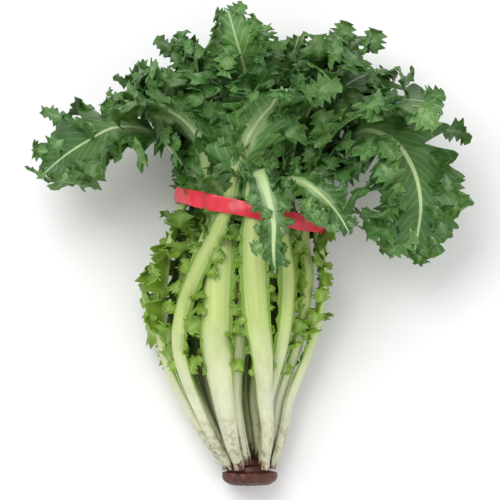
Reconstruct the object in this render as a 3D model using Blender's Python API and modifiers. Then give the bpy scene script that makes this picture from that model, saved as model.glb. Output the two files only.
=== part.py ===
"""A cut head of curly endive lying on its side: a root, its leaves and a red band round them.

Sizes are millimetres in the head's own frame: x across, y from the root to the tips, z away from
the table. The head is then tipped a little, because its crown is thicker than its root.
"""

import math
from dataclasses import dataclass
from functools import lru_cache

import bpy
import numpy as np

MM = 0.001
TILT = math.radians(11.0)  # the root end lies lower than the crown
LIFT = 17.4  # height of the head's axis over the table at the root
FLAT_SPOT = (-1.6, 9.6)  # where the root rests on the table
FLATTEN = 0.8  # depth of the sheaf of stalks against its width

# The sheaf of stalks: height, half width at the stalks' inner faces, and where its middle lies
HEIGHTS = (12.0, 17.0, 30.0, 45.0, 64.0, 87.0, 102.0, 140.0, 165.0, 186.0, 200.0, 230.0)
RADII = (15.8, 17.0, 24.0, 30.5, 37.2, 47.0, 52.5, 57.0, 56.5, 51.5, 49.2, 49.0)
MIDDLES = (-0.5, -1.0, -3.5, -6.5, -10.0, -11.0, -10.0, -6.0, -3.0, -1.0, 0.0, 0.5)

# Above the neck the stalks open like a fountain: how far each share of the radius bends
NECK = 225.0
REACH = 120.0
SHARES = (0.0, 0.15, 0.4, 0.72, 1.0, 1.3)
BENDS = (0.0, 14.0, 44.0, 78.0, 112.0, 140.0)
LEAN = 20.0  # the crown leans this far to the right

TURNS = (14.0, 60.0, 125.0, 205.0, 290.0)  # ways at which each leaf states its angle and share
LOBE = 40.0  # from one lobe to the next along the margin
LOBES = (0.42, 1.0, 0.8, 1.0)  # width through one lobe
STALK_DEEP = 6.0
BLADE_THICK = 1.0

BAND_WIDE, BAND_THICK, BAND_CLEAR = 11.6, 1.2, 5.6
BAND_HEIGHT, BAND_SLOPE = 205.0, -0.222


@dataclass(frozen=True)
class Leaf:
    """One leaf: degrees round the sheaf and share of its radius at TURNS, half widths and length.

    lap is the slope by which one edge lies over the next leaf, and path the points of a midrib
    that leaves the sheaf above the neck.
    """

    name: str
    angles: tuple
    shares: tuple
    stalk: float = 6.5
    blade: float = 34.0
    length: float = 120.0
    wave: float = 6.0
    phase: float = 0.0
    start: float = 12.6
    frill_from: float = 170.0
    skirt: float = 0.0
    low: float = 8.0
    lap: float = 0.2
    path: tuple = ()
    twist: float = 0.0
    columns: int = 6


LEAVES = (
    Leaf("leaf_left_arch", (180, 178, 179, 180, 180),
         (1, 1, 1, 1, 1), stalk=7, blade=31.4, low=7.2, lap=0.17,
         wave=5.1, phase=0.48, frill_from=105, skirt=16, twist=62,
         path=((-51, 236, -1), (-58, 252, 0), (-75, 265, 5), (-102, 267, 8), (-122, 257, 4),
               (-142, 244, -3), (-155, 232, 0))),
    Leaf("leaf_front_slim", (148, 143, 138, 112, 87),
         (0.99, 1, 1.03, 0.98, 0.97), stalk=6.3, blade=28.2, low=3.9, lap=0.21,
         wave=5.5, phase=1.02, length=112, start=12.6),
    Leaf("leaf_front_broad", (117, 105, 110, 123, 151),
         (1.02, 1, 0.93, 0.81, 1.09), stalk=10, blade=36.5, low=5.7, lap=0.1,
         wave=6.4, phase=2.25, length=118),
    Leaf("leaf_front_fold", (46, 56, 77, 88, 89),
         (1.01, 1.04, 1.03, 0.99, 0.87), stalk=7.5, blade=7.5, low=3.8, lap=0.7,
         wave=2.3, phase=0.22,
         path=((6, 234, 51), (6, 233, 65), (12, 218, 75), (17, 196, 82), (17, 176, 83),
               (18, 159, 75))),
    Leaf("leaf_right_hanging", (4, 1, 0, -3, -4),
         (1, 1, 0.99, 1, 0.98), stalk=8, blade=31.7, low=6.9, lap=0.05,
         wave=4.5, phase=2.01, frill_from=120, skirt=5, twist=-62,
         path=((64, 236, -3), (70, 254, 3), (85, 265, 13), (107, 257, 15), (121, 237, 15),
               (127, 209, 15), (125, 188, 8), (122, 170, 1))),
    Leaf("leaf_under_right", (-65, -63, -67, -62, -58),
         (1.02, 0.95, 1.04, 0.99, 0.95), stalk=7.5, blade=39.7, low=5.1, lap=0.58,
         wave=5.7, phase=4.03, length=125),
    Leaf("leaf_under_middle", (-95, -100, -91, -92, -96),
         (1.03, 1.04, 0.98, 0.97, 0.87), stalk=7.5, blade=35.3, low=2.5, lap=0.31,
         wave=3.7, phase=5.13, length=122),
    Leaf("leaf_under_left", (-126, -124, -121, -122, -124),
         (1, 1, 1, 1, 1), stalk=7.5, blade=36.7, low=7, lap=-0.02,
         wave=5.7, phase=0.8, length=125),
    Leaf("leaf_left_low", (-154, -153, -152, -152, -154),
         (1.03, 1, 0.99, 0.95, 0.85), stalk=7, blade=31.9, low=7.6, lap=-0.18,
         wave=5.8, phase=1.88, length=115),
    Leaf("leaf_middle_left", (156, 155, 155, 150, 150),
         (0.7, 0.79, 0.84, 0.63, 0.81), stalk=6, blade=37.4, low=6.7, lap=-0.25,
         wave=6.7, phase=2.82, length=122, start=16.8, frill_from=120, skirt=0),
    Leaf("leaf_top_fan", (97, 94, 88, 87, 91),
         (0.73, 0.76, 0.73, 0.72, 0.82), stalk=6, blade=19.4, low=4.5, lap=-0.11,
         wave=3.3, phase=4, start=16.8,
         path=((0, 244, 20), (0, 270, 30), (-2, 292, 43), (-4, 308, 54), (-10, 330, 68),
               (-16, 351, 64))),
    Leaf("leaf_front_right", (47, 46, 46, 53, 54),
         (0.75, 0.87, 0.87, 0.81, 0.81), stalk=5, blade=13, low=5.2, lap=0.08,
         wave=4, phase=4.18, start=16.8,
         path=((28, 228, 46), (38, 226, 58), (54, 214, 68), (66, 199, 76), (72, 188, 81))),
    Leaf("leaf_pale_rib", (22, 25, 26, 26, 28),
         (0.65, 0.55, 0.67, 0.67, 0.53), stalk=5.5, blade=27.5, low=4.3, lap=0.47,
         wave=3.2, phase=0.04, length=122, start=16.8),
    Leaf("leaf_middle_right", (-5, 4, 11, 13, 24),
         (0.73, 0.8, 0.82, 0.85, 1.08), stalk=6, blade=34.5, low=6.6, lap=0.67,
         wave=6, phase=1.21, length=118, start=16.8),
    Leaf("leaf_middle_low_right", (-40, -34, -38, -37, -38),
         (0.72, 0.62, 0.58, 0.6, 0.72), stalk=6, blade=28.8, low=6.2, lap=0.43,
         wave=5.1, phase=2.23, length=124, start=16.8),
    Leaf("leaf_back_right", (-77, -77, -74, -73, -61),
         (0.63, 0.58, 0.67, 0.7, 0.71), stalk=6, blade=24.5, low=5, lap=0.7,
         wave=3.7, phase=3.35, length=124, start=16.8),
    Leaf("leaf_back_left", (-108, -111, -112, -108, -116),
         (0.6, 0.46, 0.59, 0.6, 0.7), stalk=6, blade=21.5, low=3.9, lap=-0.04,
         wave=5, phase=4.54, length=124, start=16.8),
    Leaf("leaf_middle_low_left", (-140, -144, -141, -143, -155),
         (0.68, 0.69, 0.69, 0.62, 0.54), stalk=6, blade=31, low=4.3, lap=-0.24,
         wave=4.3, phase=5.74, length=124, start=16.8),
    Leaf("leaf_middle_far_left", (-172, -173, -173, -174, -172),
         (0.73, 0.69, 0.76, 0.76, 0.8), stalk=6, blade=30.5, low=4.7, lap=-0.21,
         wave=4.3, phase=0.82, length=120, start=16.8),
    Leaf("leaf_inner_1", (102, 101, 104, 108, 111),
         (0.4, 0.41, 0.43, 0.35, 0.51), stalk=5, blade=24.9, low=8.7, lap=-0.07,
         wave=3.6, phase=1.02, length=122, start=20.6, columns=4),
    Leaf("leaf_inner_2", (172, 170, 174, 180, 180),
         (0.42, 0.42, 0.43, 0.45, 0.48), stalk=5, blade=20.8, low=6, lap=-0.17,
         wave=3.3, phase=1.87, length=124, start=20.6, columns=4),
    Leaf("leaf_inner_3", (-115, -115, -114, -116, -116),
         (0.34, 0.27, 0.29, 0.36, 0.28), stalk=5, blade=22.6, low=7.1, lap=-0.09,
         wave=3.2, phase=3.13, length=122, start=20.6, columns=4),
    Leaf("leaf_inner_4", (-44, -44, -44, -46, -48),
         (0.39, 0.37, 0.4, 0.41, 0.46), stalk=5, blade=20.3, low=7.2, lap=0.43,
         wave=3.5, phase=3.94, length=124, start=20.6, columns=4),
    Leaf("leaf_inner_5", (28, 28, 28, 28, 30),
         (0.42, 0.35, 0.37, 0.4, 0.38), stalk=5, blade=21.7, low=5.8, lap=0.43,
         wave=3, phase=4.94, length=120, start=20.6, columns=4),
    Leaf("leaf_heart_1", (150, 150, 150, 150, 150),
         (0.16, 0.15, 0.14, 0.14, 0.18), stalk=4, blade=14, low=8, lap=-0.15,
         wave=2, phase=0, length=118, start=24.5, columns=4),
    Leaf("leaf_heart_2", (-30, -30, -30, -29, -25),
         (0.16, 0.15, 0.13, 0.1, 0.14), stalk=4, blade=14.3, low=8.2, lap=0.56,
         wave=2.1, phase=2, length=112, start=24.5, columns=4),
)


def curve(at, knots, values):
    """A smooth curve through the knots, level beyond both ends."""
    knots = np.asarray(knots, float)
    values = np.asarray(values, float)
    slopes = np.gradient(values, knots)
    at = np.clip(at, knots[0], knots[-1])
    left = np.clip(np.searchsorted(knots, at, side="right") - 1, 0, len(knots) - 2)
    gap = knots[left + 1] - knots[left]
    u = (at - knots[left]) / gap
    return (
        (1 + 2 * u) * (1 - u) ** 2 * values[left]
        + u * (1 - u) ** 2 * gap * slopes[left]
        + u**2 * (3 - 2 * u) * values[left + 1]
        + u**2 * (u - 1) * gap * slopes[left + 1]
    )


def step(at, low, high):
    """0 below low, 1 above high, smooth between."""
    u = np.clip((at - low) / (high - low), 0, 1)
    return u * u * (3 - 2 * u)


def section(radius, angle, height, middle):
    """The point at a radius and angle round the head, flattened above and pressed below."""
    depth = radius * np.sin(angle) * (1 - (1 - FLATTEN) * step(height, 20, 120))
    room = LIFT + math.tan(TILT) * height - 5.5 + 10.5 * step(height, 190, 240)
    pressed = depth / (1 + (np.minimum(depth, 0) / room) ** 4) ** 0.25
    return np.stack([middle + radius * np.cos(angle), height + 0 * radius, pressed], axis=-1)


def sheaf(share, angle, way):
    """The point of the sheaf at a share of its radius and a way along from the root."""
    height = np.minimum(way, NECK)
    band_tilt = 12 * np.cos(angle) * step(height, 140, 190) * (1 - step(height, 205, NECK))
    radius = share * curve(height + band_tilt, HEIGHTS, RADII)
    beyond = np.maximum(way - NECK, 0)
    middle = curve(height, HEIGHTS, MIDDLES) + LEAN * step(beyond, 0, REACH)
    parts = (np.arange(24) + 0.5) / 24
    u = np.minimum(beyond[..., None] * parts / REACH, 1.3)
    bend = np.radians(curve(share, SHARES, BENDS))[..., None] * u**1.3 * (1.25 - 0.25 * u)
    radius = radius + beyond * np.sin(bend).mean(axis=-1)
    height = height + beyond * np.cos(bend).mean(axis=-1)
    return section(radius, angle, height, middle), radius


@lru_cache
def spine(leaf):
    """Ways, points, outward and sideways directions down the middle of a leaf with a path."""
    ways = np.arange(leaf.start, NECK, 2.0)
    angles = np.radians(curve(ways, TURNS, leaf.angles))
    low, _ = sheaf(curve(ways, TURNS, leaf.shares), angles, ways)
    through = np.concatenate([low[-12::4], low[-1:], np.array(leaf.path, float)])
    along = np.concatenate([[0], np.cumsum(np.linalg.norm(np.diff(through, axis=0), axis=1))])
    first = along[3]
    fine = np.arange(first + 2, along[-1], 2.0)
    high = np.stack([curve(fine, along, through[:, i]) for i in range(3)], axis=-1)
    points = np.concatenate([low, high])
    ways = np.concatenate([ways, ways[-1] + fine - first])
    tangents = np.gradient(points, axis=0)
    tangents /= np.linalg.norm(tangents, axis=1)[:, None]
    outward = np.stack([np.cos(angles), 0 * angles, np.sin(angles)], axis=-1)
    normals = np.zeros_like(points)
    for i, tangent in enumerate(tangents):
        normal = outward[i] if i < len(outward) else normals[i - 1]
        normal = normal - tangent * normal.dot(tangent)
        normals[i] = normal / np.linalg.norm(normal)
    sideways = np.cross(normals, tangents)
    turn = np.radians(leaf.twist) * step(ways, NECK, ways[-1])[:, None]
    normals, sideways = (
        normals * np.cos(turn) + sideways * np.sin(turn),
        sideways * np.cos(turn) - normals * np.sin(turn),
    )
    return ways, points, normals, sideways


def placed(leaf, way, aside, out):
    """The point of the leaf at a way along, so far aside from its middle and so far outward."""
    angle = np.radians(curve(way, TURNS, leaf.angles))
    share = curve(way, TURNS, leaf.shares)
    _, radius = sheaf(share, angle, way)
    if not leaf.path:
        spread = 50 + 72 * step(way, NECK, NECK + 110)
        return sheaf(share + out / spread, angle + aside / np.hypot(radius, 12), way)[0]
    ways, points, normals, sideways = spine(leaf)
    ring = out - aside**2 / (2 * radius) * (1 - step(way, NECK - 10, NECK + 30))
    past = np.maximum(way - ways[-1], 0)[..., None]
    at = [np.stack([np.interp(way, ways, v[:, i]) for i in range(3)], axis=-1)
          for v in (points, normals, sideways)]
    return at[0] + at[1] * ring[..., None] + at[2] * aside[..., None] + past * (
        points[-1] - points[-2]) / 2.0


def leaf_length(leaf):
    return spine(leaf)[0][-1] - NECK if leaf.path else leaf.length


def leaf_shape(leaf, across, way):
    """How far aside and outward the leaf is, and how thick, at a share across and a way along."""
    length = leaf_length(leaf)
    side = np.sign(across)
    rib = np.minimum(np.abs(across) * 3, 1)
    blade = np.clip((np.abs(across) * 3 - 1) / 2, 0, 1)
    ends = (leaf.start, 32, 62, 100, 140, 205, NECK, NECK + 0.5 * length, NECK + length)
    stalk = leaf.stalk * curve(way, ends, (0.42, 0.56, 0.8, 1.0, 1.0, 0.76, 0.6, 0.3, 0.1))
    ends = (leaf.start, 70, 120, 165, 200) + tuple(
        NECK + length * part for part in (0, 0.25, 0.5, 0.78, 0.93, 1))
    low, high = leaf.low, leaf.blade
    wide = curve(way, ends, (0.8, 0.15 * low, 0.6 * low, low, 0.7 * low,
                             0.3 * high, 0.75 * high, high, 0.85 * high, 0.5 * high, 0.12 * high))
    frill = step(way, leaf.frill_from - 10, leaf.frill_from + 20)
    turn = (way / LOBE + leaf.phase + 0.5 * (side > 0)) % 1
    lobes = 1 - frill * (1 - curve(turn, (0, 0.25, 0.5, 0.75, 1), LOBES + LOBES[:1]))
    pokes = leaf.skirt * step(way, leaf.frill_from, 125) * (1 - step(way, 170, 195))
    aside = side * (stalk * rib + (wide * lobes + 0.3 * pokes) * blade)
    ruffle = np.sin(2 * np.pi * way / LOBE + 6.283 * leaf.phase * side + side)
    free = step(way, 215, 250) * (1 - 0.5 * step(way, NECK + 0.8 * length, NECK + length))
    out = leaf.wave * free * blade**1.5 * ruffle + pokes * blade * lobes
    out = out + leaf.lap * aside * step(way, 185, 235)
    sweep = 0.35 * wide * lobes * blade**1.5
    deep = STALK_DEEP * curve(
        way, (leaf.start, 60, 130, 205, 250, 300, 350), (0.62, 0.9, 1, 0.72, 0.48, 0.28, 0.2))
    deep = deep * min(1, leaf.stalk / 6.0)
    thick = np.maximum(BLADE_THICK, deep * (1 - 0.72 * rib**2) * (1 - blade))
    return aside, out, sweep, thick


def tipped(points):
    """From the head's own frame to the table's, whose origin is the flat spot under the root."""
    x, y, z = np.moveaxis(points, -1, 0)
    along = y * math.cos(TILT) - z * math.sin(TILT)
    height = y * math.sin(TILT) + z * math.cos(TILT) + LIFT
    return np.stack([x - FLAT_SPOT[0], along - FLAT_SPOT[1], height], axis=-1)


def to_world(points):
    """In metres on the table, with nothing pressed lower than just clear of it."""
    world = tipped(points)
    low = np.minimum(world[..., 2], 6)
    world[..., 2] = np.where(low < 6, 1.2 + 4.8 * np.exp((low - 6) / 4.8), world[..., 2])
    return world * MM


def material(name, colour, roughness):
    made = bpy.data.materials.new(name)
    made.use_nodes = True
    shader = made.node_tree.nodes["Principled BSDF"]
    shader.inputs["Base Color"].default_value = (*colour, 1)
    shader.inputs["Roughness"].default_value = roughness
    return made


def finish(name, thickness, offset, paint):
    """Names the active surface, gives it its thickness and its material."""
    made = bpy.context.object
    made.name = name
    made.data.name = name
    made.data.materials.append(paint)
    if made.vertex_groups or thickness:
        made.modifiers.new("Triangles", "TRIANGULATE").quad_method = "FIXED"
        shell = made.modifiers.new("Thickness", "SOLIDIFY")
        shell.thickness = thickness
        shell.offset = offset
        if made.vertex_groups:
            shell.vertex_group = made.vertex_groups[0].name
    return made


def row_ways(leaf):
    """Ways of the leaf's rows: far apart on the plain stalk, four to a lobe above."""
    end = NECK + leaf_length(leaf)
    plain = np.linspace(leaf.start, leaf.frill_from, 6 if leaf.columns > 4 else 4)[:-1]
    count = math.ceil((end - leaf.frill_from) / (LOBE / 4))
    return np.concatenate([plain, np.linspace(leaf.frill_from, end, count + 1)])


def make_leaf(leaf, paint):
    ways = row_ways(leaf)
    bpy.ops.mesh.primitive_grid_add(
        x_subdivisions=leaf.columns, y_subdivisions=len(ways) - 1, size=2)
    mesh = bpy.context.object.data
    flat = np.empty(len(mesh.vertices) * 3)
    mesh.vertices.foreach_get("co", flat)
    across, up, _ = flat.reshape(-1, 3).T
    row = np.rint((up + 1) / 2 * (len(ways) - 1)).astype(int)
    if leaf.columns == 4:
        across = np.sign(across) * np.where(np.abs(across) > 0.75, 1, np.abs(across) * 2 / 3)
    aside, out, sweep, thick = leaf_shape(leaf, across, ways[row])
    points = to_world(placed(leaf, ways[row] + sweep, aside, out))
    mesh.vertices.foreach_set("co", points.ravel())
    group = bpy.context.object.vertex_groups.new(name="thickness")
    for index, weight in enumerate(thick / STALK_DEEP):
        group.add([index], weight, "REPLACE")
    return finish(leaf.name, STALK_DEEP * MM, -1, paint)


def make_root(paint):
    """The brown cut end, with the short stem the leaves grow from."""
    profile = ((0, 1.2), (8.5, 0.4), (15, 0.6), (18.6, 3), (20.2, 6), (19.8, 9.6), (14.8, 11.2),
               (14.0, 14.2), (10.2, 15.8), (9.2, 18.4), (5.0, 20.0), (0, 22.4))
    bpy.ops.mesh.primitive_uv_sphere_add(segments=28, ring_count=len(profile) - 1, radius=1)
    mesh = bpy.context.object.data
    flat = np.empty(len(mesh.vertices) * 3)
    mesh.vertices.foreach_get("co", flat)
    x, y, z = flat.reshape(-1, 3).T
    ring = np.rint(np.arccos(np.clip(-z, -1, 1)) / math.pi * (len(profile) - 1)).astype(int)
    radius, height = np.array(profile, float)[ring].T
    angle = np.arctan2(y, x)
    uneven = 1 + 0.02 * np.sin(3 * angle + 1) + 0.015 * np.sin(7 * angle)
    uneven = np.where(ring < 6, uneven, 1)
    lower = np.stack([-0.5 + radius * uneven * np.cos(angle), height,
                      -radius * uneven * np.sin(angle)], axis=-1)
    upper = section(radius, -angle, height, -0.5)
    points = np.where(ring[:, None] < 6, lower, upper)
    mesh.vertices.foreach_set("co", (tipped(points) * MM).ravel())
    bpy.ops.object.mode_set(mode="EDIT")
    bpy.ops.mesh.select_all(action="SELECT")
    bpy.ops.mesh.bisect(plane_co=(0, 0, 0), plane_no=(0, 0, -1), clear_outer=True, use_fill=True)
    bpy.ops.object.mode_set(mode="OBJECT")
    return finish("cut_root", 0, 0, paint)


def make_band(paint):
    """The red band, just outside the stalks and sloping down to the right."""
    bpy.ops.mesh.primitive_cylinder_add(vertices=56, radius=1, depth=1, end_fill_type="NOTHING")
    mesh = bpy.context.object.data
    flat = np.empty(len(mesh.vertices) * 3)
    mesh.vertices.foreach_get("co", flat)
    x, y, z = flat.reshape(-1, 3).T
    angle = np.arctan2(y, x)
    height = BAND_HEIGHT + BAND_SLOPE * 54 * np.cos(angle) + z * BAND_WIDE
    inner = section(np.full_like(angle, 49.2), angle, height, 0.3)
    away = np.stack([np.cos(angle), 0 * angle, np.sin(angle) / FLATTEN], axis=-1)
    away /= np.linalg.norm(away, axis=1)[:, None]
    points = inner + BAND_CLEAR * away
    mesh.vertices.foreach_set("co", to_world(points).ravel())
    made = finish("band", BAND_THICK * MM, 1, paint)
    bpy.ops.object.mode_set(mode="EDIT")
    bpy.ops.mesh.select_all(action="SELECT")
    bpy.ops.mesh.flip_normals()
    bpy.ops.object.mode_set(mode="OBJECT")
    return made


def main():
    for old in list(bpy.data.objects):
        bpy.data.objects.remove(old, do_unlink=True)
    green = material("leaf", (0.13, 0.27, 0.05), 0.5)
    make_root(material("root", (0.17, 0.06, 0.02), 0.45))
    for leaf in LEAVES:
        make_leaf(leaf, green)
    make_band(material("band", (0.6, 0.03, 0.05), 0.45))


if __name__ == "__main__":
    main()
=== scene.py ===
"""The looks of a cut head of curly endive: finer leaves, root and band in place of the CAD's.

Sizes are millimetres in the head's own frame: x across, y from the root to the tips, z away from
the table. The head is then tipped a little, as in the CAD, because its crown is thicker than its
root. The script is laid out as an add-on, and run as a script.
"""

import math
from dataclasses import dataclass
from functools import lru_cache

import bmesh
import bpy
import numpy as np
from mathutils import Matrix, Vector


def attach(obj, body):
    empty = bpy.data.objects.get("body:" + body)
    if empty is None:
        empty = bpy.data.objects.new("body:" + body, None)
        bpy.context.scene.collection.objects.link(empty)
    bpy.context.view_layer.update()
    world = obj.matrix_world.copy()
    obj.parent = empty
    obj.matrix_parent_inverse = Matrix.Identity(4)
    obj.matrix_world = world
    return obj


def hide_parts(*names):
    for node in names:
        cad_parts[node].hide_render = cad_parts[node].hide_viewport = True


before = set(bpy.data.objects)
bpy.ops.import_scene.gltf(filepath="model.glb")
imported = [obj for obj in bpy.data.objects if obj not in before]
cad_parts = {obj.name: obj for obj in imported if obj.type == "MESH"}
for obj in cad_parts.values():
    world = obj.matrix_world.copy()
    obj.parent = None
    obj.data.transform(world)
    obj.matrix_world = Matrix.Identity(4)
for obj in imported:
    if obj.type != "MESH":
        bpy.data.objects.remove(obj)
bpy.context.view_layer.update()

bl_info = {
    "name": "Curly endive head",
    "version": (1, 0, 0),
    "blender": (4, 5, 0),
    "location": "3D View > Sidebar > Endive",
    "description": "Models the leaves, root and band of a cut head of curly endive",
    "category": "Add Mesh",
}


MM = 0.001
TILT = math.radians(11.0)  # the root end lies lower than the crown
LIFT = 17.4  # height of the head's axis over the table at the root
FLAT_SPOT = (-1.6, 9.6)  # where the root rests on the table
FLATTEN = 0.8  # depth of the sheaf of stalks against its width

# The sheaf of stalks: height, half width at the stalks' inner faces, and where its middle lies
HEIGHTS = (12.0, 17.0, 30.0, 45.0, 64.0, 87.0, 102.0, 140.0, 165.0, 186.0, 200.0, 230.0)
RADII = (15.8, 17.0, 24.0, 30.5, 37.2, 47.0, 52.5, 57.0, 56.5, 51.5, 49.2, 49.0)
MIDDLES = (-0.5, -1.0, -3.5, -6.5, -10.0, -11.0, -10.0, -6.0, -3.0, -1.0, 0.0, 0.5)

# Above the neck the stalks open like a fountain: how far each share of the radius bends
NECK = 225.0
REACH = 120.0
SHARES = (0.0, 0.15, 0.4, 0.72, 1.0, 1.3)
BENDS = (0.0, 14.0, 44.0, 78.0, 112.0, 140.0)
LEAN = 20.0  # the crown leans this far to the right

TURNS = (14.0, 60.0, 125.0, 205.0, 290.0)  # ways at which each leaf states its angle and share
LOBE = 40.0  # from one lobe to the next along the margin
LOBES = (0.42, 1.0, 0.8, 1.0)  # width through one lobe
STALK_DEEP = 6.0
BLADE_THICK = 1.0

BAND_WIDE, BAND_THICK, BAND_CLEAR = 11.6, 1.2, 5.6
BAND_HEIGHT, BAND_SLOPE = 205.0, -0.222


@dataclass(frozen=True)
class Leaf:
    """One leaf: degrees round the sheaf and share of its radius at TURNS, half widths and length.

    lap is the slope by which one edge lies over the next leaf, and path the points of a midrib
    that leaves the sheaf above the neck.
    """

    name: str
    angles: tuple
    shares: tuple
    stalk: float = 6.5
    blade: float = 34.0
    length: float = 120.0
    wave: float = 6.0
    phase: float = 0.0
    start: float = 12.6
    frill_from: float = 170.0
    skirt: float = 0.0
    low: float = 8.0
    lap: float = 0.2
    path: tuple = ()
    twist: float = 0.0


LEAVES = (
    Leaf("leaf_left_arch", (180, 178, 179, 180, 180),
         (1, 1, 1, 1, 1), stalk=7, blade=31.4, low=7.2, lap=0.17,
         wave=5.1, phase=0.48, frill_from=105, skirt=16, twist=62,
         path=((-51, 236, -1), (-58, 252, 0), (-75, 265, 5), (-102, 267, 8), (-122, 257, 4),
               (-142, 244, -3), (-155, 232, 0))),
    Leaf("leaf_front_slim", (148, 143, 138, 112, 87),
         (0.99, 1, 1.03, 0.98, 0.97), stalk=6.3, blade=28.2, low=3.9, lap=0.21,
         wave=5.5, phase=1.02, length=112, start=12.6),
    Leaf("leaf_front_broad", (117, 105, 110, 123, 151),
         (1.02, 1, 0.93, 0.81, 1.09), stalk=10, blade=36.5, low=5.7, lap=0.1,
         wave=6.4, phase=2.25, length=118),
    Leaf("leaf_front_fold", (46, 56, 77, 88, 89),
         (1.01, 1.04, 1.03, 0.99, 0.87), stalk=7.5, blade=7.5, low=3.8, lap=0.7,
         wave=2.3, phase=0.22,
         path=((6, 234, 51), (6, 233, 65), (12, 218, 75), (17, 196, 82), (17, 176, 83),
               (18, 159, 75))),
    Leaf("leaf_right_hanging", (4, 1, 0, -3, -4),
         (1, 1, 0.99, 1, 0.98), stalk=8, blade=31.7, low=6.9, lap=0.05,
         wave=4.5, phase=2.01, frill_from=120, skirt=5, twist=-62,
         path=((64, 236, -3), (70, 254, 3), (85, 265, 13), (107, 257, 15), (121, 237, 15),
               (127, 209, 15), (125, 188, 8), (122, 170, 1))),
    Leaf("leaf_under_right", (-65, -63, -67, -62, -58),
         (1.02, 0.95, 1.04, 0.99, 0.95), stalk=7.5, blade=39.7, low=5.1, lap=0.58,
         wave=5.7, phase=4.03, length=125),
    Leaf("leaf_under_middle", (-95, -100, -91, -92, -96),
         (1.03, 1.04, 0.98, 0.97, 0.87), stalk=7.5, blade=35.3, low=2.5, lap=0.31,
         wave=3.7, phase=5.13, length=122),
    Leaf("leaf_under_left", (-126, -124, -121, -122, -124),
         (1, 1, 1, 1, 1), stalk=7.5, blade=36.7, low=7, lap=-0.02,
         wave=5.7, phase=0.8, length=125),
    Leaf("leaf_left_low", (-154, -153, -152, -152, -154),
         (1.03, 1, 0.99, 0.95, 0.85), stalk=7, blade=31.9, low=7.6, lap=-0.18,
         wave=5.8, phase=1.88, length=115),
    Leaf("leaf_middle_left", (156, 155, 155, 150, 150),
         (0.7, 0.79, 0.84, 0.63, 0.81), stalk=6, blade=37.4, low=6.7, lap=-0.25,
         wave=6.7, phase=2.82, length=122, start=16.8, frill_from=120, skirt=0),
    Leaf("leaf_top_fan", (97, 94, 88, 87, 91),
         (0.73, 0.76, 0.73, 0.72, 0.82), stalk=6, blade=19.4, low=4.5, lap=-0.11,
         wave=3.3, phase=4, start=16.8,
         path=((0, 244, 20), (0, 270, 30), (-2, 292, 43), (-4, 308, 54), (-10, 330, 68),
               (-16, 351, 64))),
    Leaf("leaf_front_right", (47, 46, 46, 53, 54),
         (0.75, 0.87, 0.87, 0.81, 0.81), stalk=5, blade=13, low=5.2, lap=0.08,
         wave=4, phase=4.18, start=16.8,
         path=((28, 228, 46), (38, 226, 58), (54, 214, 68), (66, 199, 76), (72, 188, 81))),
    Leaf("leaf_pale_rib", (22, 25, 26, 26, 28),
         (0.65, 0.55, 0.67, 0.67, 0.53), stalk=5.5, blade=27.5, low=4.3, lap=0.47,
         wave=3.2, phase=0.04, length=122, start=16.8),
    Leaf("leaf_middle_right", (-5, 4, 11, 13, 24),
         (0.73, 0.8, 0.82, 0.85, 1.08), stalk=6, blade=34.5, low=6.6, lap=0.67,
         wave=6, phase=1.21, length=118, start=16.8),
    Leaf("leaf_middle_low_right", (-40, -34, -38, -37, -38),
         (0.72, 0.62, 0.58, 0.6, 0.72), stalk=6, blade=28.8, low=6.2, lap=0.43,
         wave=5.1, phase=2.23, length=124, start=16.8),
    Leaf("leaf_back_right", (-77, -77, -74, -73, -61),
         (0.63, 0.58, 0.67, 0.7, 0.71), stalk=6, blade=24.5, low=5, lap=0.7,
         wave=3.7, phase=3.35, length=124, start=16.8),
    Leaf("leaf_back_left", (-108, -111, -112, -108, -116),
         (0.6, 0.46, 0.59, 0.6, 0.7), stalk=6, blade=21.5, low=3.9, lap=-0.04,
         wave=5, phase=4.54, length=124, start=16.8),
    Leaf("leaf_middle_low_left", (-140, -144, -141, -143, -155),
         (0.68, 0.69, 0.69, 0.62, 0.54), stalk=6, blade=31, low=4.3, lap=-0.24,
         wave=4.3, phase=5.74, length=124, start=16.8),
    Leaf("leaf_middle_far_left", (-172, -173, -173, -174, -172),
         (0.73, 0.69, 0.76, 0.76, 0.8), stalk=6, blade=30.5, low=4.7, lap=-0.21,
         wave=4.3, phase=0.82, length=120, start=16.8),
    Leaf("leaf_inner_1", (102, 101, 104, 108, 111),
         (0.4, 0.41, 0.43, 0.35, 0.51), stalk=5, blade=24.9, low=8.7, lap=-0.07,
         wave=3.6, phase=1.02, length=122, start=20.6),
    Leaf("leaf_inner_2", (172, 170, 174, 180, 180),
         (0.42, 0.42, 0.43, 0.45, 0.48), stalk=5, blade=20.8, low=6, lap=-0.17,
         wave=3.3, phase=1.87, length=124, start=20.6),
    Leaf("leaf_inner_3", (-115, -115, -114, -116, -116),
         (0.34, 0.27, 0.29, 0.36, 0.28), stalk=5, blade=22.6, low=7.1, lap=-0.09,
         wave=3.2, phase=3.13, length=122, start=20.6),
    Leaf("leaf_inner_4", (-44, -44, -44, -46, -48),
         (0.39, 0.37, 0.4, 0.41, 0.46), stalk=5, blade=20.3, low=7.2, lap=0.43,
         wave=3.5, phase=3.94, length=124, start=20.6),
    Leaf("leaf_inner_5", (28, 28, 28, 28, 30),
         (0.42, 0.35, 0.37, 0.4, 0.38), stalk=5, blade=21.7, low=5.8, lap=0.43,
         wave=3, phase=4.94, length=120, start=20.6),
    Leaf("leaf_heart_1", (150, 150, 150, 150, 150),
         (0.16, 0.15, 0.14, 0.14, 0.18), stalk=4, blade=14, low=8, lap=-0.15,
         wave=2, phase=0, length=118, start=24.5),
    Leaf("leaf_heart_2", (-30, -30, -30, -29, -25),
         (0.16, 0.15, 0.13, 0.1, 0.14), stalk=4, blade=14.3, low=8.2, lap=0.56,
         wave=2.1, phase=2, length=112, start=24.5),
)


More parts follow.
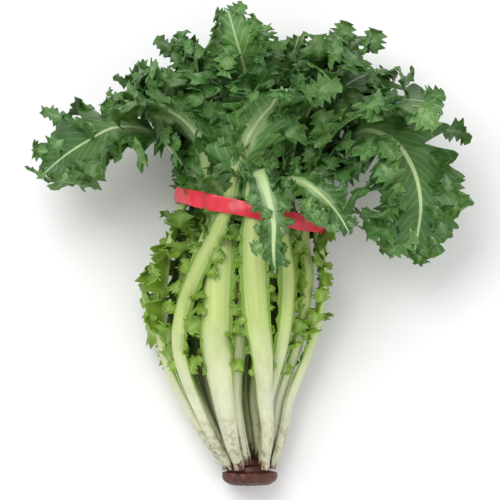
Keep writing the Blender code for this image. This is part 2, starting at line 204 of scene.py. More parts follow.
def curve(at, knots, values):
    """A smooth curve through the knots, level beyond both ends."""
    knots = np.asarray(knots, float)
    values = np.asarray(values, float)
    slopes = np.gradient(values, knots)
    at = np.clip(at, knots[0], knots[-1])
    left = np.clip(np.searchsorted(knots, at, side="right") - 1, 0, len(knots) - 2)
    gap = knots[left + 1] - knots[left]
    u = (at - knots[left]) / gap
    return (
        (1 + 2 * u) * (1 - u) ** 2 * values[left]
        + u * (1 - u) ** 2 * gap * slopes[left]
        + u**2 * (3 - 2 * u) * values[left + 1]
        + u**2 * (u - 1) * gap * slopes[left + 1]
    )


def step(at, low, high):
    """0 below low, 1 above high, smooth between."""
    u = np.clip((at - low) / (high - low), 0, 1)
    return u * u * (3 - 2 * u)


def section(radius, angle, height, middle):
    """The point at a radius and angle round the head, flattened above and pressed below."""
    depth = radius * np.sin(angle) * (1 - (1 - FLATTEN) * step(height, 20, 120))
    room = LIFT + math.tan(TILT) * height - 5.5 + 10.5 * step(height, 190, 240)
    pressed = depth / (1 + (np.minimum(depth, 0) / room) ** 4) ** 0.25
    return np.stack([middle + radius * np.cos(angle), height + 0 * radius, pressed], axis=-1)


def sheaf(share, angle, way):
    """The point of the sheaf at a share of its radius and a way along from the root."""
    height = np.minimum(way, NECK)
    band_tilt = 12 * np.cos(angle) * step(height, 140, 190) * (1 - step(height, 205, NECK))
    radius = share * curve(height + band_tilt, HEIGHTS, RADII)
    beyond = np.maximum(way - NECK, 0)
    middle = curve(height, HEIGHTS, MIDDLES) + LEAN * step(beyond, 0, REACH)
    parts = (np.arange(24) + 0.5) / 24
    u = np.minimum(beyond[..., None] * parts / REACH, 1.3)
    bend = np.radians(curve(share, SHARES, BENDS))[..., None] * u**1.3 * (1.25 - 0.25 * u)
    radius = radius + beyond * np.sin(bend).mean(axis=-1)
    height = height + beyond * np.cos(bend).mean(axis=-1)
    return section(radius, angle, height, middle), radius


@lru_cache
def spine(leaf):
    """Ways, points, outward and sideways directions down the middle of a leaf with a path."""
    ways = np.arange(leaf.start, NECK, 2.0)
    angles = np.radians(curve(ways, TURNS, leaf.angles))
    low, _ = sheaf(curve(ways, TURNS, leaf.shares), angles, ways)
    through = np.concatenate([low[-12::4], low[-1:], np.array(leaf.path, float)])
    along = np.concatenate([[0], np.cumsum(np.linalg.norm(np.diff(through, axis=0), axis=1))])
    first = along[3]
    fine = np.arange(first + 2, along[-1], 2.0)
    high = np.stack([curve(fine, along, through[:, i]) for i in range(3)], axis=-1)
    points = np.concatenate([low, high])
    ways = np.concatenate([ways, ways[-1] + fine - first])
    tangents = np.gradient(points, axis=0)
    tangents /= np.linalg.norm(tangents, axis=1)[:, None]
    outward = np.stack([np.cos(angles), 0 * angles, np.sin(angles)], axis=-1)
    normals = np.zeros_like(points)
    for i, tangent in enumerate(tangents):
        normal = outward[i] if i < len(outward) else normals[i - 1]
        normal = normal - tangent * normal.dot(tangent)
        normals[i] = normal / np.linalg.norm(normal)
    sideways = np.cross(normals, tangents)
    turn = np.radians(leaf.twist) * step(ways, NECK, ways[-1])[:, None]
    normals, sideways = (
        normals * np.cos(turn) + sideways * np.sin(turn),
        sideways * np.cos(turn) - normals * np.sin(turn),
    )
    return ways, points, normals, sideways


def placed(leaf, way, aside, out):
    """The point of the leaf at a way along, so far aside from its middle and so far outward."""
    angle = np.radians(curve(way, TURNS, leaf.angles))
    share = curve(way, TURNS, leaf.shares)
    _, radius = sheaf(share, angle, way)
    if not leaf.path:
        spread = 50 + 72 * step(way, NECK, NECK + 110)
        return sheaf(share + out / spread, angle + aside / np.hypot(radius, 12), way)[0]
    ways, points, normals, sideways = spine(leaf)
    ring = out - aside**2 / (2 * radius) * (1 - step(way, NECK - 10, NECK + 30))
    past = np.maximum(way - ways[-1], 0)[..., None]
    at = [np.stack([np.interp(way, ways, v[:, i]) for i in range(3)], axis=-1)
          for v in (points, normals, sideways)]
    return at[0] + at[1] * ring[..., None] + at[2] * aside[..., None] + past * (
        points[-1] - points[-2]) / 2.0


def leaf_length(leaf):
    return spine(leaf)[0][-1] - NECK if leaf.path else leaf.length


# Finer than the CAD
LOBE_SMALL, TOOTH = 13.3, 5.2  # from one small lobe, or tooth, to the next
FINE_WAVES = ((14.3, 3.4, 2.0), (6.3, 1.3, 3.0))  # length, height, and how near the edge it keeps
FULLER = 1.22  # width of a broad blade against the CAD's, for its thin edges
NARROW = 14  # a blade with a half width under this keeps the CAD's width
CURL_GAP, CURL_COLUMNS, CURL_ROWS = 11.0, 6, 11  # the small curled lobes and their meshes
CURL_THICK = BLADE_THICK * 0.8
LONGEST = 400.0  # the way that the height of a leaf's UV map stands for
VEIN_CLIMB = 210.0  # how steeply the veins climb, across the whole UV map
WIDEST = 200.0  # the width that the width of its UV map stands for
SMOOTH = math.radians(50)  # edges sharper than this stay sharp

BAND_SEGMENTS, BAND_ROWS = 240, 12
BAND_RADIUS, BAND_MIDDLE = 49.2, 0.3  # the sheaf at the band, and where its middle lies
ROOT_SEGMENTS = 120
# Radius and height of the root's profile, from its cut end to the tip inside the leaves
ROOT_PROFILE = ((0, 1.2), (8.5, 0.4), (15, 0.6), (18.6, 3), (20.2, 6), (19.8, 9.6), (14.8, 11.2),
                (14.0, 14.2), (10.2, 15.8), (9.2, 18.4), (5.0, 20.0), (0, 22.4))
ROOT_MIDDLE = -0.5

AIM = (0.0, 175.9, 20.0)  # what the camera and the lights are turned to
SENSOR = 36.0
FLOOR_SIZE = 6.0  # metres, as are the lights' places and sizes
LIGHTS = (("key", (-0.5, 0.7, 1.5), 1.1, 15), ("fill", (0.9, -0.6, 1.3), 1.4, 5))
SKY_STRENGTH = 0.75


def leaf_shape(leaf, across, way):
    """How far aside, outward and along the leaf is, and how thick, at a share across and a way."""
    length = leaf_length(leaf)
    side = np.where(across < 0, -1.0, 1.0)
    rib = np.minimum(np.abs(across) * 3, 1)
    blade = np.clip((np.abs(across) * 3 - 1) / 2, 0, 1)
    ends = (leaf.start, 32, 62, 100, 140, 205, NECK, NECK + 0.5 * length, NECK + length)
    stalk = leaf.stalk * curve(way, ends, (0.42, 0.56, 0.8, 1.0, 1.0, 0.76, 0.6, 0.3, 0.1))
    ends = (leaf.start, 70, 120, 165, 200) + tuple(
        NECK + length * part for part in (0, 0.25, 0.5, 0.78, 0.93, 1))
    low, high = leaf.low, leaf.blade
    wide = curve(way, ends, (0.8, 0.15 * low, 0.6 * low, low, 0.7 * low,
                             0.3 * high, 0.75 * high, high, 0.85 * high, 0.5 * high, 0.12 * high))
    frill = step(way, leaf.frill_from - 10, leaf.frill_from + 20)
    turn = (way / LOBE + leaf.phase + 0.5 * (side > 0)) % 1
    lobes = 1 - frill * (1 - curve(turn, (0, 0.25, 0.5, 0.75, 1), LOBES + LOBES[:1]))
    small = np.abs(np.sin(np.pi * (way / LOBE_SMALL + 3.7 * leaf.phase + 0.3 * side)))
    lobes = lobes * (1 - 0.36 * frill * (1 - small))
    open_to_air = step(way, 200, 260) * (leaf.blade > NARROW)
    pokes = leaf.skirt * step(way, leaf.frill_from, 125) * (1 - step(way, 170, 195))
    tooth = (way / TOOTH + 1.3 * leaf.phase + 0.4 * side) % 1
    tooth = (0.5 + 2.0 * open_to_air) * frill * tooth * blade**6
    edge = wide * lobes * (1 + (FULLER - 1) * open_to_air) + 0.3 * pokes
    aside = side * (stalk * rib + edge * blade + tooth)
    ruffle = np.sin(2 * np.pi * way / LOBE + 6.283 * leaf.phase * side + side)
    free = step(way, 215, 250) * (1 - 0.5 * step(way, NECK + 0.8 * length, NECK + length))
    out = leaf.wave * free * blade**1.5 * ruffle + pokes * blade * lobes
    out = out + leaf.lap * aside * step(way, 185, 235)
    loose = 0.35 * step(way, 70, 110) + 0.65 * step(way, 205, 260)
    loose = np.maximum(loose, np.minimum(pokes / 12, 1))
    for wavelength, high, power in FINE_WAVES:
        shift = 4.1 * leaf.phase + 1.9 * side + 0.05 * wavelength
        out = out + loose * high * blade**power * np.sin(2 * np.pi * way / wavelength + shift)
    sweep = 0.35 * wide * lobes * blade**1.5
    deep = STALK_DEEP * curve(
        way, (leaf.start, 60, 130, 205, 250, 300, 350), (0.62, 0.9, 1, 0.72, 0.48, 0.28, 0.2))
    deep = deep * min(1, leaf.stalk / 6.0)
    ridges = 1 + 0.07 * np.cos(across * 26) * (1 - rib**4)
    thick = np.maximum(BLADE_THICK, deep * ridges * (1 - 0.72 * rib**2) * (1 - blade))
    return aside, out, sweep, thick


def tipped(points):
    """From the head's own frame to the table's, whose origin is the flat spot under the root."""
    x, y, z = np.moveaxis(points, -1, 0)
    along = y * math.cos(TILT) - z * math.sin(TILT)
    height = y * math.sin(TILT) + z * math.cos(TILT) + LIFT
    return np.stack([x - FLAT_SPOT[0], along - FLAT_SPOT[1], height], axis=-1)


def to_world(points):
    """In metres on the table, with nothing pressed lower than just clear of it."""
    world = tipped(points)
    low = np.minimum(world[..., 2], 6)
    world[..., 2] = np.where(low < 6, 1.2 + 4.8 * np.exp((low - 6) / 4.8), world[..., 2])
    return world * MM


# ---- Materials -------------------------------------------------------------------------------


def node(tree, kind, feeds=(), **settings):
    """A shader node with its settings, and its inputs fed by sockets or plain values."""
    made = tree.nodes.new("ShaderNode" + kind)
    for name, value in settings.items():
        setattr(made, name, value)
    for slot, value in feeds:
        if isinstance(value, bpy.types.NodeSocket):
            tree.links.new(value, made.inputs[slot])
        else:
            made.inputs[slot].default_value = value
    return made


def maths(tree, operation, first, second=0.0):
    """The result of one Math node."""
    made = node(tree, "Math", [(0, first), (1, second)], operation=operation)
    return made.outputs[0]


def mixed(tree, share, first, second, way="MIX"):
    """Two colours mixed by a share."""
    made = node(tree, "Mix", [(0, share), (6, first), (7, second)],
                data_type="RGBA", blend_type=way)
    return made.outputs[2]


def ramp(tree, share, stops):
    """Colours, or greys, at shares from 0 to 1."""
    made = node(tree, "ValToRGB", [(0, share)])
    band = made.color_ramp
    while len(band.elements) < len(stops):
        band.elements.new(0.5)
    for element, (at, colour) in zip(band.elements, stops):
        element.position = at
        element.color = colour if hasattr(colour, "__len__") else (colour, colour, colour, 1)
    return made.outputs[0]


def noise(tree, scale, detail=4.0, rough=0.55, stretch=(1, 1, 1)):
    """Noise on the object's own coordinates, in metres."""
    place = node(tree, "TexCoord").outputs["Object"]
    if stretch != (1, 1, 1):
        place = node(tree, "Mapping", [("Vector", place), ("Scale", stretch)]).outputs[0]
    made = node(tree, "TexNoise", [("Vector", place), ("Scale", scale), ("Detail", detail),
                                   ("Roughness", rough)])
    return made.outputs[0]


def new_material(name):
    made = bpy.data.materials.new(name)
    made.use_nodes = True
    return made, made.node_tree, made.node_tree.nodes["Principled BSDF"]


def add_bump(tree, shader, height, strength, distance):
    bump = node(tree, "Bump", [("Height", height), ("Strength", strength),
                               ("Distance", distance)])
    tree.links.new(bump.outputs[0], shader.inputs["Normal"])


def rgba(colour, bright=1.0):
    """A colour property as a socket takes it, made brighter or darker."""
    return tuple(c * bright for c in colour) + (1.0,)


def climb_colours(tree, look, up, under):
    """The stalk's and the blade's colours, which both change up the leaf."""
    stalk = ramp(tree, up, ((0.03, rgba(look.base)), (0.16, rgba(look.base, 0.97)),
                            (0.32, rgba(look.stalk)), (0.52, rgba(look.stalk, 0.86)),
                            (0.66, rgba(look.vein, 0.9))))
    free = rgba(look.underside if under else look.blade)
    blade = ramp(tree, up, ((0.18, rgba(look.frill)), (0.42, rgba(look.frill, 0.8)),
                            (0.56, free)))
    patches = ramp(tree, noise(tree, 28.0), ((0.38, 0.0), (0.62, 1.0)))
    paler = mixed(tree, 0.25, blade, rgba(look.frill, 0.62))
    return stalk, mixed(tree, patches, blade, paler)


def vein_share(tree, aside, up, under):
    """How much vein there is: lines that climb outward from the midrib on the free blade."""
    climb = maths(tree, "SUBTRACT", maths(tree, "MULTIPLY", up, LONGEST),
                  maths(tree, "MULTIPLY", aside, VEIN_CLIMB))
    climb = maths(tree, "ADD", climb, maths(tree, "MULTIPLY", noise(tree, 60.0, 2.0), 9.0))
    wave = maths(tree, "ABSOLUTE", maths(tree, "SINE", maths(tree, "MULTIPLY", climb, 0.42)))
    veins = ramp(tree, wave, ((0.0, 1.0), (0.16, 0.35), (0.4, 0.0)))
    veins = maths(tree, "MULTIPLY", veins, 0.45 if under else 0.22)
    return maths(tree, "MULTIPLY", veins, ramp(tree, up, ((0.5, 0.0), (0.62, 1.0))))


def stained(tree, colour, worn, look):
    """The colour with the brown stain and specks near the root."""
    specks = ramp(tree, noise(tree, 230.0, 5.0), ((0.5, 0.0), (0.62, 1.0)))
    share = maths(tree, "MULTIPLY", worn, maths(tree, "ADD", specks, worn))
    return mixed(tree, node(tree, "Clamp", [(0, share)]).outputs[0], colour, rgba(look.brown))


def leaf_material(name, look, under):
    """One face of the leaves; the under face is paler, with plainer veins."""
    made, tree, shader = new_material(name)
    place = node(tree, "SeparateXYZ", [(0, node(tree, "UVMap", uv_map="leaf").outputs[0])])
    aside = maths(tree, "ABSOLUTE", maths(tree, "SUBTRACT", place.outputs[0], 0.5))
    up = place.outputs[1]
    leafy, worn, shade = node(tree, "SeparateColor", [
        (0, node(tree, "VertexColor", layer_name="paint").outputs[0])]).outputs
    stalk, blade = climb_colours(tree, look, up, under)
    veins = vein_share(tree, aside, up, under)
    colour = mixed(tree, leafy, stalk, mixed(tree, veins, blade, rgba(look.vein)))
    streaks = noise(tree, 90.0, 3.0, stretch=(1.0, 0.12, 1.0))
    colour = mixed(tree, 0.5, colour, ramp(tree, streaks, ((0.3, 0.62), (0.6, 1.0))), "MULTIPLY")
    colour = mixed(tree, shade, colour, rgba(look.shadow), "MULTIPLY")
    colour = stained(tree, colour, worn, look)
    tree.links.new(colour, shader.inputs["Base Color"])
    shader.inputs["Roughness"].default_value = 0.5 if under else 0.4
    shader.inputs["Subsurface Weight"].default_value = 0.12
    shader.inputs["Subsurface Radius"].default_value = (0.004, 0.006, 0.002)
    height = maths(tree, "ADD", maths(tree, "MULTIPLY", streaks, 0.5),
                   maths(tree, "MULTIPLY", veins, -1.0 if under else 1.0))
    add_bump(tree, shader, height, 0.35, 0.0008)
    return made


def root_material(look):
    """Dark, moist brown, with paler torn fibres."""
    made, tree, shader = new_material("root")
    rough = noise(tree, 140.0, 7.0, 0.65)
    fibres = noise(tree, 120.0, 4.0, stretch=(1.0, 0.2, 1.0))
    colour = ramp(tree, rough, ((0.3, rgba(look.brown, 0.25)), (0.5, rgba(look.brown, 0.8)),
                                (0.72, rgba(look.brown, 1.7))))
    colour = mixed(tree, ramp(tree, fibres, ((0.58, 0.0), (0.72, 0.5))), colour,
                   rgba(look.brown, 3.0))
    tree.links.new(colour, shader.inputs["Base Color"])
    shader.inputs["Roughness"].default_value = 0.42
    add_bump(tree, shader, rough, 0.8, 0.0012)
    return made


def band_material(look):
    """Satin red, with painted shade: darker where the bump sinks into a crease."""
    made, tree, shader = new_material("band")
    creases_and_shade = noise(tree, 45.0, 3.0, stretch=(2.4, 0.5, 1.0))
    # painted shade: the red darkens where the crease noise, which also bumps the band, runs low
    colour = ramp(tree, creases_and_shade, ((0.32, rgba(look.red, 0.55)), (0.6, rgba(look.red))))
    tree.links.new(colour, shader.inputs["Base Color"])
    shader.inputs["Roughness"].default_value = 0.38
    shader.inputs["Coat Weight"].default_value = 0.15
    add_bump(tree, shader, creases_and_shade, 0.4, 0.0015)
    return made


# ---- Pieces ----------------------------------------------------------------------------------


def coordinates(mesh):
    flat = np.empty(len(mesh.vertices) * 3)
    mesh.vertices.foreach_get("co", flat)
    return flat.reshape(-1, 3).T


def start(primitive, **settings):
    """Adds a primitive with nothing else selected, and gives back its object."""
    bpy.ops.object.select_all(action="DESELECT")
    primitive(**settings)
    return bpy.context.object


def apply_modifiers(piece):
    for modifier in list(piece.modifiers):
        bpy.ops.object.modifier_apply(modifier=modifier.name)


def close_piece(piece, name):
    """Smooths a finished piece, names it and ties it to its CAD node."""
    apply_modifiers(piece)
    bpy.ops.object.shade_smooth_by_angle(angle=SMOOTH)
    piece.name = name + "_fine"
    piece.data.name = name + "_fine"
    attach(piece, "root")
    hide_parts(name)


def row_ways(leaf, gap):
    """Ways of the leaf's rows: well apart on the plain stalk, close on the blade."""
    end = NECK + leaf_length(leaf)
    plain_to = min(leaf.frill_from, 200) - 10
    plain = np.linspace(leaf.start, plain_to, math.ceil((plain_to - leaf.start) / 4.0))[:-1]
    return np.concatenate([plain, np.linspace(plain_to, end, math.ceil((end - plain_to) / gap))])


def paint_leaf(mesh, leaf, across, way, aside):
    """The UV map, and the shares of blade, of brown stain and of shade at each point."""
    rib = np.minimum(np.abs(across) * 3, 1)
    blade = np.clip((np.abs(across) * 3 - 1) / 2, 0, 1)
    leafy = np.maximum(step(blade, 0.0, 0.3), step(rib, 0.55, 1.0) * step(way, 225, 320))
    leafy = leafy * step(way, 40, 90)
    torn = 3.0 * np.sin(5 * across + 3 * leaf.phase) + 1.6 * np.sin(23 * across + leaf.phase)
    worn = 1 - step(way + torn, leaf.start + 2, leaf.start + 7)
    worn = np.maximum(worn, 0.42 * (1 - step(way, 20, 75)))
    inner = 1.0 - min(1.0, max(leaf.shares))
    shade = np.clip(inner * 0.9 + 0.25 * (1 - step(way, 60, 240)) * step(rib, 0.7, 1), 0, 1)
    store(mesh, leafy, worn, shade, 0.5 + aside / WIDEST, way / LONGEST)


def paint_curls(mesh, leaf, u, v, way):
    """The same for the small lobes, each with its own pale vein up the middle."""
    inner = 1.0 - min(1.0, max(leaf.shares))
    vein = (1 - step(np.abs(u), 0.0, 0.3)) * (1 - v)
    store(mesh, 1 - 0.6 * vein, 0 * v, 0.9 * inner + 0 * v, 0.5 + 0.06 * u,
          (way + 12 * v) / LONGEST)


def store(mesh, leafy, worn, shade, u, v):
    """Writes the shares as a colour attribute and the place on the leaf as its UV map."""
    values = np.stack([leafy, worn, shade, np.ones_like(u)], axis=-1)
    paint = mesh.color_attributes.new("paint", "FLOAT_COLOR", "POINT")
    paint.data.foreach_set("color", values.ravel())
    layer = mesh.uv_layers[0]
    layer.name = "leaf"
    corners = np.empty(len(mesh.loops), int)
    mesh.loops.foreach_get("vertex_index", corners)
    layer.data.foreach_set("uv", np.stack([u, v], axis=-1)[corners].ravel())


def shape_surface(piece, points, thick):
    """Moves a grid's points to their places, and notes how thick it is at each."""
    piece.data.vertices.foreach_set("co", to_world(points).ravel())
    group = piece.vertex_groups.new(name="thickness")
    for index, weight in enumerate(thick / STALK_DEEP):
        group.add([index], weight, "REPLACE")


def make_blade(leaf, look):
    """The stalk and blade of one leaf, as one grid shaped by the rule."""
    ways = row_ways(leaf, look.row_gap / MM)
    piece = start(bpy.ops.mesh.primitive_grid_add, x_subdivisions=look.columns,
                  y_subdivisions=len(ways) - 1, size=2, calc_uvs=True)
    across, up, _ = coordinates(piece.data)
    way = ways[np.rint((up + 1) / 2 * (len(ways) - 1)).astype(int)]
    aside, out, sweep, thick = leaf_shape(leaf, across, way)
    shape_surface(piece, placed(leaf, way + sweep, aside, out), thick)
    paint_leaf(piece.data, leaf, across, way, aside)
    return piece


def surface(leaf, across, way):
    """Points of the finished blade, at shares across and ways along."""
    aside, out, sweep, _ = leaf_shape(leaf, across, way)
    return placed(leaf, way + sweep, aside, out)


def unit(vectors):
    return vectors / np.linalg.norm(vectors, axis=-1, keepdims=True)


def curl_places(leaf, chance):
    """Where the small curled lobes grow, and how long each is: crowded on the free blade."""
    end = NECK + leaf_length(leaf)
    free = np.arange(NECK - 8, end - 6, CURL_GAP)
    low = np.arange(leaf.frill_from - 12 if leaf.skirt else 84, 200, 1.3 * CURL_GAP)
    if max(leaf.shares) < 0.9:
        low = low[low > 130]
    ways = np.concatenate([low, free])
    sizes = np.concatenate([np.full(len(low), 15.0 + 0.3 * leaf.skirt), np.full(len(free), 25.0)])
    ways, sizes = np.repeat(ways, 2), np.repeat(sizes, 2)
    side = np.tile([-1.0, 1.0], len(ways) // 2)
    across = side * np.where(ways < 205, 0.9, chance.uniform(0.5, 1.0, len(ways)))
    ways = ways + chance.uniform(-0.4, 0.4, len(ways)) * CURL_GAP
    sizes = sizes * chance.uniform(0.7, 1.15, len(ways))
    sizes = sizes * (1 - 0.35 * step(ways, end - 30, end)) * min(1, (leaf.blade + 3) / 25)
    return across, ways, sizes


def curl_frames(leaf, at_across, at_way, chance):
    """Where each small lobe is rooted, and its ways ahead, aside and out of its face."""
    foot = surface(leaf, at_across, at_way)
    side = np.sign(at_across)
    outward = unit(surface(leaf, at_across + 0.02 * side, at_way) - foot)
    upward = unit(surface(leaf, at_across, at_way + 2) - foot)
    normal = unit(np.cross(outward, upward))
    lean = np.radians(chance.uniform(15, 65, len(side)))[:, None]
    ahead = unit(outward * np.cos(lean) + upward * np.sin(lean))
    aside = unit(np.cross(normal, ahead))
    roll = np.radians(chance.uniform(-55, 55, len(side)))[:, None]
    aside, normal = (aside * np.cos(roll) + normal * np.sin(roll),
                     normal * np.cos(roll) - aside * np.sin(roll))
    return foot, ahead, aside, normal


def make_curls(leaf, seed):
    """The small toothed lobes along a leaf, which twist out of its face and curl."""
    chance = np.random.default_rng(seed)
    at_across, at_way, size = curl_places(leaf, chance)
    total = len(size)
    piece = start(bpy.ops.mesh.primitive_grid_add, x_subdivisions=CURL_COLUMNS,
                  y_subdivisions=total * CURL_ROWS - 1, size=2, calc_uvs=True)
    u, up, _ = coordinates(piece.data)
    row = np.rint((up + 1) / 2 * (total * CURL_ROWS - 1)).astype(int)
    lobe, v = row // CURL_ROWS, (row % CURL_ROWS) / (CURL_ROWS - 1)
    frames = curl_frames(leaf, at_across, at_way, chance)
    foot, ahead, aside, normal = (vectors[lobe] for vectors in frames)
    rise = np.radians(chance.uniform(-50, 50, total))
    curl = np.radians(chance.uniform(50, 150, total)) * np.where(rise > 0, -1, 1)
    rise, curl, size = rise[lobe], curl[lobe], size[lobe]
    bend = rise + curl * v
    forth = size * (np.sin(bend) - np.sin(rise)) / curl
    lift = -size * (np.cos(bend) - np.cos(rise)) / curl
    teeth = 1 + 0.30 * np.where(row % 2, 1, -1) * step(v, 0.05, 0.2)
    wide = 0.46 * size * (0.3 + 0.7 * np.sin(np.pi * np.clip(v, 0, 0.93) ** 0.8)) * teeth
    wave = 0.13 * size * u**2 * np.sin(9 * v + 3 * np.sign(u) + lobe)
    over = normal * np.cos(bend)[:, None] - ahead * np.sin(bend)[:, None]
    points = (foot + ahead * forth[:, None] + normal * lift[:, None]
              + aside * (u * wide)[:, None] + over * wave[:, None])
    shape_surface(piece, points, np.full(len(u), CURL_THICK))
    split_rows(piece.data, lobe)
    paint_curls(piece.data, leaf, u, v, at_way[lobe])
    return piece


def split_rows(mesh, lobe):
    """Takes out the faces that join one lobe's rows to the next lobe's."""
    body = bmesh.new()
    body.from_mesh(mesh)
    joins = [face for face in body.faces if len({lobe[v.index] for v in face.verts}) > 1]
    bmesh.ops.delete(body, geom=joins, context="FACES")
    body.to_mesh(mesh)
    body.free()


def make_leaf(leaf, look, paints, seed):
    """One whole leaf: its blade and its small lobes, joined and given their thickness."""
    blade = make_blade(leaf, look)
    curls = make_curls(leaf, seed)
    bpy.ops.object.select_all(action="DESELECT")
    curls.select_set(True)
    blade.select_set(True)
    bpy.context.view_layer.objects.active = blade
    bpy.ops.object.join()
    piece = bpy.context.object
    for paint in paints:
        piece.data.materials.append(paint)
    shell = piece.modifiers.new("Thickness", "SOLIDIFY")
    shell.thickness = STALK_DEEP * MM
    shell.offset = -1
    shell.vertex_group = "thickness"
    shell.material_offset = 1
    close_piece(piece, leaf.name)


def make_root(look):
    """The brown cut end: the CAD's profile, roughened."""
    piece = start(bpy.ops.mesh.primitive_uv_sphere_add, segments=ROOT_SEGMENTS,
                  ring_count=look.root_rings, radius=1)
    x, y, z = coordinates(piece.data)
    knots = np.arange(len(ROOT_PROFILE))
    share = np.arccos(np.clip(-z, -1, 1)) / math.pi * knots[-1]
    radius, height = (np.interp(share, knots, column) for column in zip(*ROOT_PROFILE))
    angle = np.arctan2(y, x)
    uneven = 0.02 * np.sin(3 * angle + 1) + 0.015 * np.sin(7 * angle)
    uneven = uneven + 0.02 * np.sin(19 * angle + 4 * share) + 0.015 * np.sin(37 * angle - share)
    uneven = 1 + uneven * (1 - step(share, 5, 6))
    lower = np.stack([ROOT_MIDDLE + radius * uneven * np.cos(angle), height,
                      -radius * uneven * np.sin(angle)], axis=-1)
    upper = section(radius, -angle, height, ROOT_MIDDLE)
    mix = step(share, 5, 6)[:, None]
    piece.data.vertices.foreach_set("co", (tipped(lower + (upper - lower) * mix) * MM).ravel())
    bpy.ops.object.mode_set(mode="EDIT")
    bpy.ops.mesh.select_all(action="SELECT")
    bpy.ops.mesh.bisect(plane_co=(0, 0, 0), plane_no=(0, 0, -1), clear_outer=True, use_fill=True)
    bpy.ops.object.mode_set(mode="OBJECT")
    piece.data.materials.append(root_material(look))
    close_piece(piece, "cut_root")


def make_band(look):
    """The red band: the CAD's ring, with a soft edge and creases."""
    piece = start(bpy.ops.mesh.primitive_grid_add, x_subdivisions=BAND_SEGMENTS,
                  y_subdivisions=BAND_ROWS, size=2)
    across, up, _ = coordinates(piece.data)
    angle = across * np.pi
    height = BAND_HEIGHT + BAND_SLOPE * 54 * np.cos(angle) + 0.5 * up * BAND_WIDE
    height = height + 0.7 * np.sin(5 * angle) * (1 - up) / 2
    inner = section(np.full_like(angle, BAND_RADIUS), angle, height, BAND_MIDDLE)
    away = np.stack([np.cos(angle), 0 * angle, np.sin(angle) / FLATTEN], axis=-1)
    away /= np.linalg.norm(away, axis=1)[:, None]
    crease = 0.5 * np.sin(9 * angle + 2 * up) + 0.15 * np.sin(31 * angle - up)
    swell = BAND_CLEAR + 0.5 * (1 - up**2) + crease
    piece.data.vertices.foreach_set("co", to_world(inner + swell[:, None] * away).ravel())
    bpy.ops.object.mode_set(mode="EDIT")
    bpy.ops.mesh.select_all(action="SELECT")
    bpy.ops.mesh.remove_doubles(threshold=0.00001)
    bpy.ops.mesh.normals_make_consistent(inside=False)
    bpy.ops.object.mode_set(mode="OBJECT")
    shell = piece.modifiers.new("Thickness", "SOLIDIFY")
    shell.thickness = BAND_THICK * MM
    shell.offset = 1
    edges = piece.modifiers.new("Edges", "BEVEL")
    edges.width = 0.0004
    edges.segments = 2
    piece.data.materials.append(band_material(look))
    close_piece(piece, "band")


# ---- The add-on ------------------------------------------------------------------------------


def length_property(name, description, default):
    return bpy.props.FloatProperty(
        name=name, description=description, default=default, min=0.0, unit="LENGTH")


def colour_property(name, description, default):
    return bpy.props.FloatVectorProperty(
        name=name, description=description, default=default, subtype="COLOR", size=3,
        min=0.0, max=1.0)


def count_property(name, description, default):
    return bpy.props.IntProperty(name=name, description=description, default=default, min=4)


class EndiveLook(bpy.types.PropertyGroup):
    """How fine the pieces are, and their colours."""

    row_gap: length_property("Row gap", "From one row of the blade's mesh to the next", 0.0015)
    columns: count_property("Columns", "Columns of the mesh across a leaf", 36)
    root_rings: count_property("Root rings", "Rings of the root's mesh", 66)
    base: colour_property("Base", "The foot of the stalks", (0.72, 0.74, 0.52))
    stalk: colour_property("Stalk", "The stalks", (0.50, 0.62, 0.20))
    frill: colour_property("Frill", "The thin edges low on the stalks", (0.24, 0.42, 0.04))
    blade: colour_property("Blade", "The upper face of the leaves", (0.035, 0.13, 0.018))
    underside: colour_property("Underside", "The lower face of the leaves", (0.075, 0.215, 0.045))
    vein: colour_property("Vein", "The midrib and veins of the blades", (0.52, 0.68, 0.32))
    shadow: colour_property("Shadow", "Multiplies the inner leaves' colour", (0.75, 0.8, 0.55))
    brown: colour_property("Brown", "The root and the stalks' feet", (0.09, 0.022, 0.009))
    red: colour_property("Red", "The band", (0.72, 0.022, 0.045))


class EndiveStage(bpy.types.PropertyGroup):
    """The camera, the floor and the light."""

    distance: length_property("Distance", "From the camera to the head", 2.5)
    view_width: length_property("View width", "What the camera takes in across the head", 0.371)
    elevation: bpy.props.FloatProperty(
        name="Elevation", description="How steeply the camera looks down",
        default=math.radians(79), subtype="ANGLE", unit="ROTATION")
    floor: colour_property("Floor", "The table", (0.92, 0.92, 0.92))


class ENDIVE_OT_root(bpy.types.Operator):
    """Models the brown cut end of the root"""

    bl_idname = "endive.root"
    bl_label = "Root"

    def execute(self, context):
        make_root(context.scene.endive_look)
        return {"FINISHED"}


class ENDIVE_OT_leaves(bpy.types.Operator):
    """Models the leaves, with their stalks, lobes and ruffles"""

    bl_idname = "endive.leaves"
    bl_label = "Leaves"

    def execute(self, context):
        look = context.scene.endive_look
        paints = [leaf_material("leaf_upper", look, False), leaf_material("leaf_under", look, True)]
        for seed, leaf in enumerate(LEAVES):
            make_leaf(leaf, look, paints, seed)
        return {"FINISHED"}


class ENDIVE_OT_band(bpy.types.Operator):
    """Models the red band round the stalks"""

    bl_idname = "endive.band"
    bl_label = "Band"

    def execute(self, context):
        make_band(context.scene.endive_look)
        return {"FINISHED"}


def add_floor(stage):
    floor = start(bpy.ops.mesh.primitive_plane_add, size=FLOOR_SIZE)
    floor.name = "floor"
    made, _, shader = new_material("floor")
    shader.inputs["Base Color"].default_value = rgba(stage.floor)
    shader.inputs["Roughness"].default_value = 0.9
    floor.data.materials.append(made)


def add_light(name, place, size, power, aim):
    """A square soft light at a place, turned towards the head."""
    lamp = bpy.data.lights.new(name, "AREA")
    lamp.size = size
    lamp.energy = power
    made = bpy.data.objects.new(name, lamp)
    bpy.context.collection.objects.link(made)
    made.location = place
    made.rotation_euler = (made.location - aim).to_track_quat("Z", "Y").to_euler()


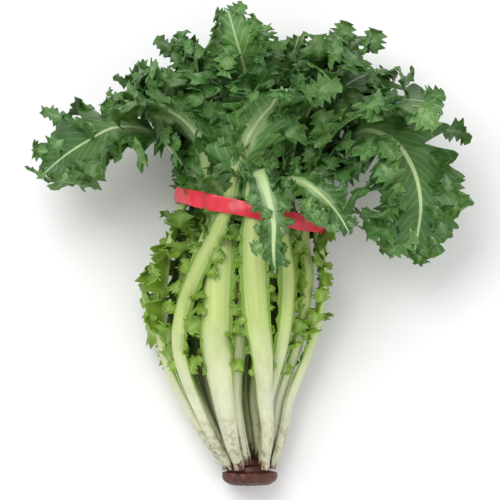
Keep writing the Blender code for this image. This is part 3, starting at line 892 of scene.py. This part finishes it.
def add_sky(scene):
    """Even white light from all round, and colours shown as they are."""
    world = bpy.data.worlds.new("sky")
    world.use_nodes = True
    back = world.node_tree.nodes["Background"]
    back.inputs["Color"].default_value = (1, 1, 1, 1)
    back.inputs["Strength"].default_value = SKY_STRENGTH
    scene.world = world
    scene.view_settings.view_transform = "Standard"


def add_camera(context, stage, aim):
    """A long lens straight up the head's own line, looking down."""
    lens = bpy.data.cameras.new("camera")
    lens.sensor_width = SENSOR
    lens.lens = SENSOR * stage.distance / stage.view_width
    lens.clip_start = 0.1
    eye = bpy.data.objects.new("camera", lens)
    context.collection.objects.link(eye)
    away = Vector((0, -math.cos(stage.elevation), math.sin(stage.elevation)))
    eye.location = aim + away * stage.distance
    eye.rotation_euler = away.to_track_quat("Z", "Y").to_euler()
    context.scene.camera = eye


class ENDIVE_OT_stage(bpy.types.Operator):
    """Sets out the floor, the lights and the camera"""

    bl_idname = "endive.stage"
    bl_label = "Stage"

    def execute(self, context):
        stage = context.scene.endive_stage
        aim = Vector(tipped(np.array(AIM)) * MM)
        add_floor(stage)
        for light in LIGHTS:
            add_light(*light, aim)
        add_sky(context.scene)
        add_camera(context, stage, aim)
        return {"FINISHED"}


class VIEW3D_PT_endive(bpy.types.Panel):
    """Lists the steps of the head's making"""

    bl_label = "Curly endive"
    bl_space_type = "VIEW_3D"
    bl_region_type = "UI"
    bl_category = "Endive"

    def draw(self, context):
        for maker in STEPS:
            self.layout.operator(maker)
        for group in (context.scene.endive_look, context.scene.endive_stage):
            for name in group.__annotations__:
                self.layout.prop(group, name)


STEPS = ("endive.root", "endive.leaves", "endive.band", "endive.stage")
CLASSES = (EndiveLook, EndiveStage, ENDIVE_OT_root, ENDIVE_OT_leaves, ENDIVE_OT_band,
           ENDIVE_OT_stage, VIEW3D_PT_endive)


def register():
    for kind in CLASSES:
        bpy.utils.register_class(kind)
    bpy.types.Scene.endive_look = bpy.props.PointerProperty(type=EndiveLook)
    bpy.types.Scene.endive_stage = bpy.props.PointerProperty(type=EndiveStage)


def unregister():
    del bpy.types.Scene.endive_stage
    del bpy.types.Scene.endive_look
    for kind in reversed(CLASSES):
        bpy.utils.unregister_class(kind)


def main():
    register()
    bpy.ops.endive.root()
    bpy.ops.endive.leaves()
    bpy.ops.endive.band()
    bpy.ops.endive.stage()


if __name__ == "__main__":
    main()
